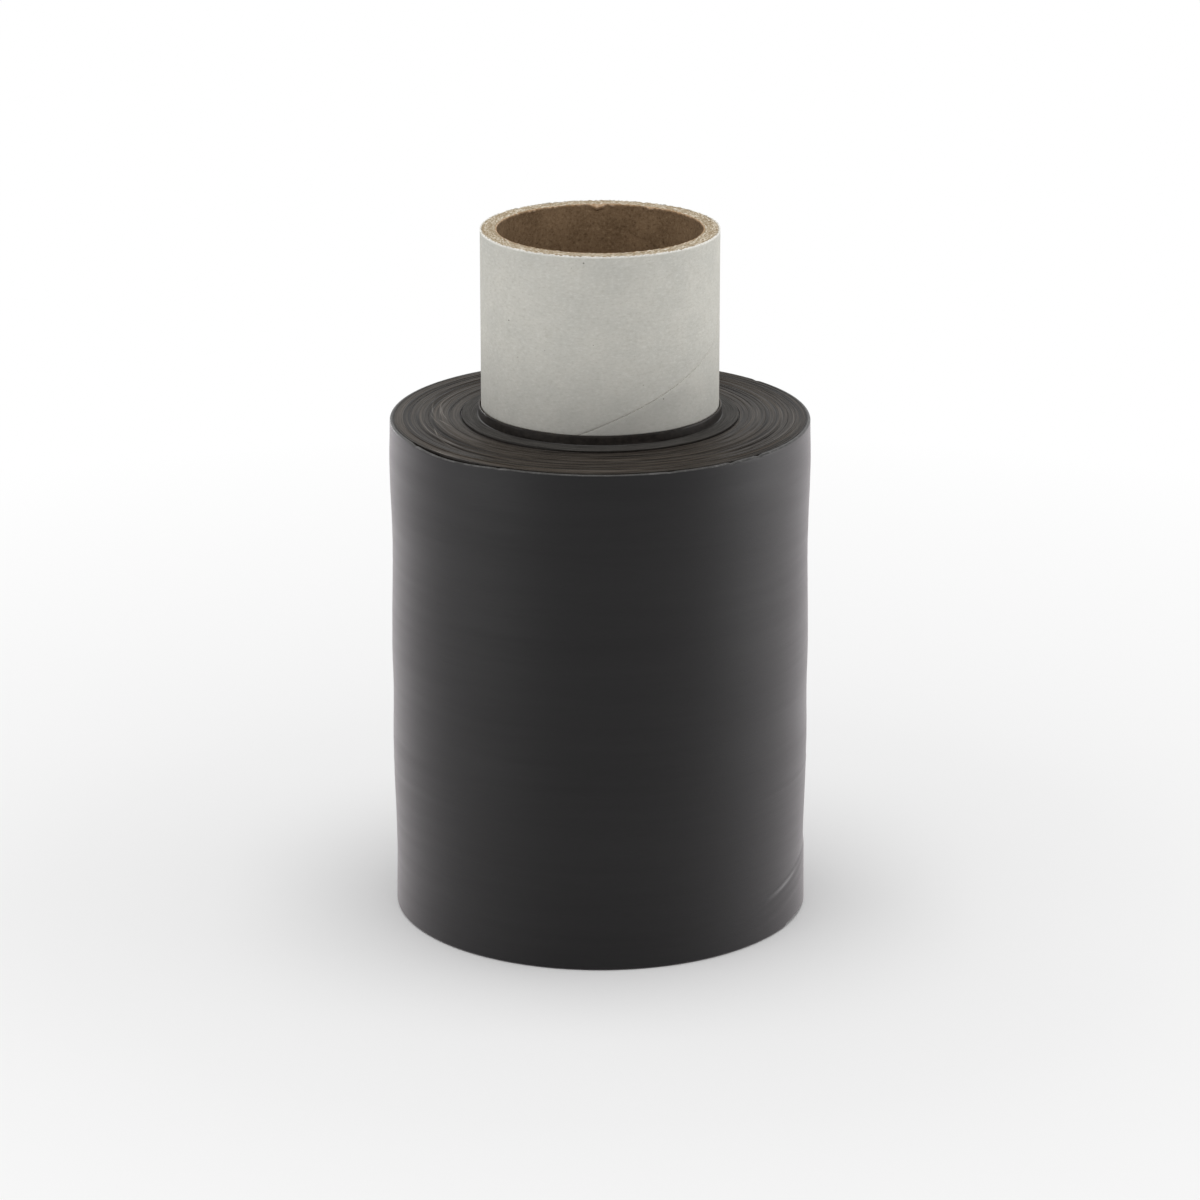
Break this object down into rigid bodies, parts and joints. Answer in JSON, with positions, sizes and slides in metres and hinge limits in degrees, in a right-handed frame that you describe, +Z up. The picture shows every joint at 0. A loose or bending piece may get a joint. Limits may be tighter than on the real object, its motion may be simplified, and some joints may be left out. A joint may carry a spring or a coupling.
{
  "type": "stretch wrap roll",
  "caption": "Hand roll of black stretch film wound on a paperboard core that stands out of the film at one end.",
  "frame": {"origin": "on the roll's axis, at the middle of the end that it stands on", "axes": "+Z up along the roll's axis, towards the end where the core stands out; -Y is the side that faces the picture's camera"},
  "size_m": [0.103, 0.103, 0.172],
  "materials": {
    "core_board": "matt brown kraft board, paler and fibrous where it is cut",
    "core_paper": "matt grey paper with faint mottling",
    "film": "opaque black stretch film, satin on the outer turn, brushed by the edges of the turns on the ends"
  },
  "bodies": {
    "root": {"core_tube": "core_board", "core_outer_ply": "core_paper", "film_winding": "film"}
  },
  "joints": []
}
